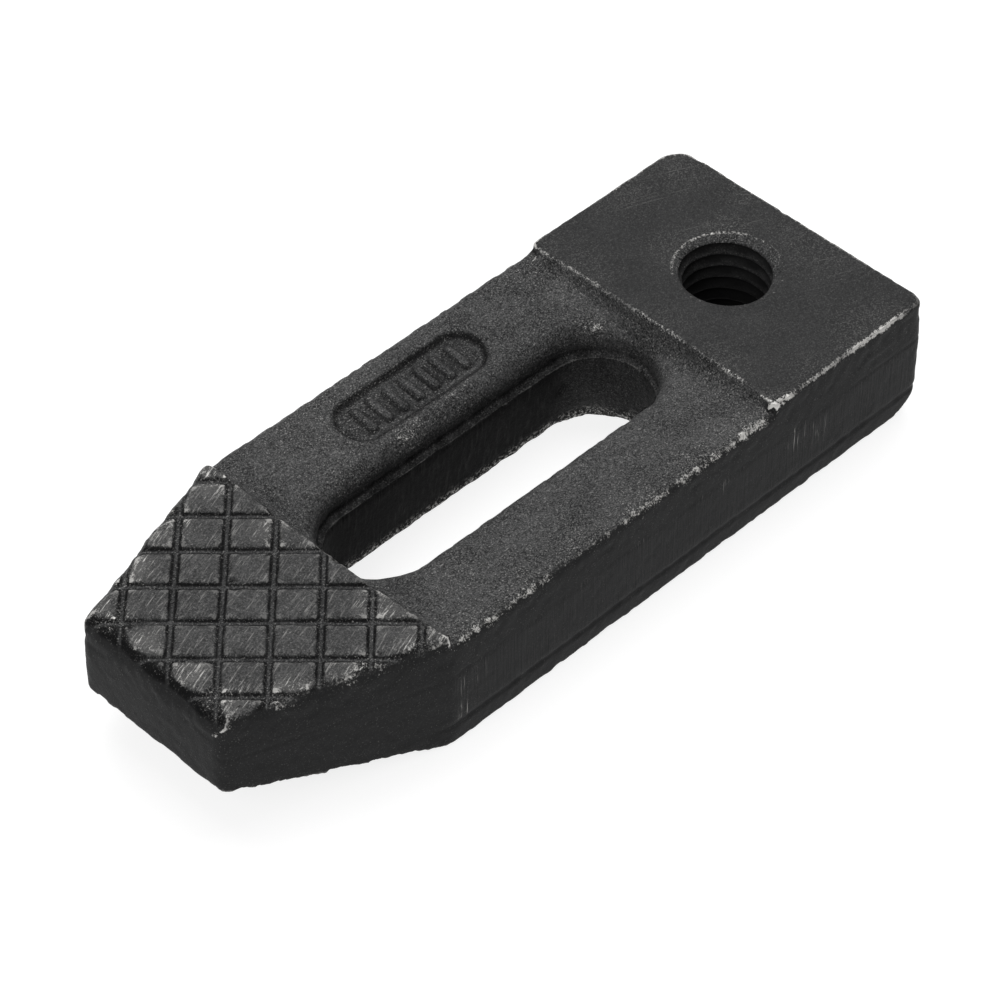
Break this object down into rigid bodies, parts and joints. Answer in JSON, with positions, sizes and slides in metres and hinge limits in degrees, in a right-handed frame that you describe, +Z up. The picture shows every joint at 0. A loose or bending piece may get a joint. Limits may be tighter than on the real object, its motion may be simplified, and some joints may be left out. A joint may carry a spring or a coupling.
{
  "type": "clamping plate",
  "caption": "Forged steel clamp strap with a long stud slot, a tapped hole in its tail pad and a tapered nose with a diamond grip.",
  "frame": {"origin": "middle of the length and width, on the plane of the flat underside", "axes": "+X along the plate towards the nose with the grip pattern, +Z up from the underside to the pads"},
  "size_m": [0.1168, 0.045, 0.0188],
  "materials": {
    "forged_steel": "black oxide over a shot-blasted forging, worn bright on its edges"
  },
  "bodies": {
    "root": {"clamping_plate": "forged_steel"}
  },
  "joints": []
}
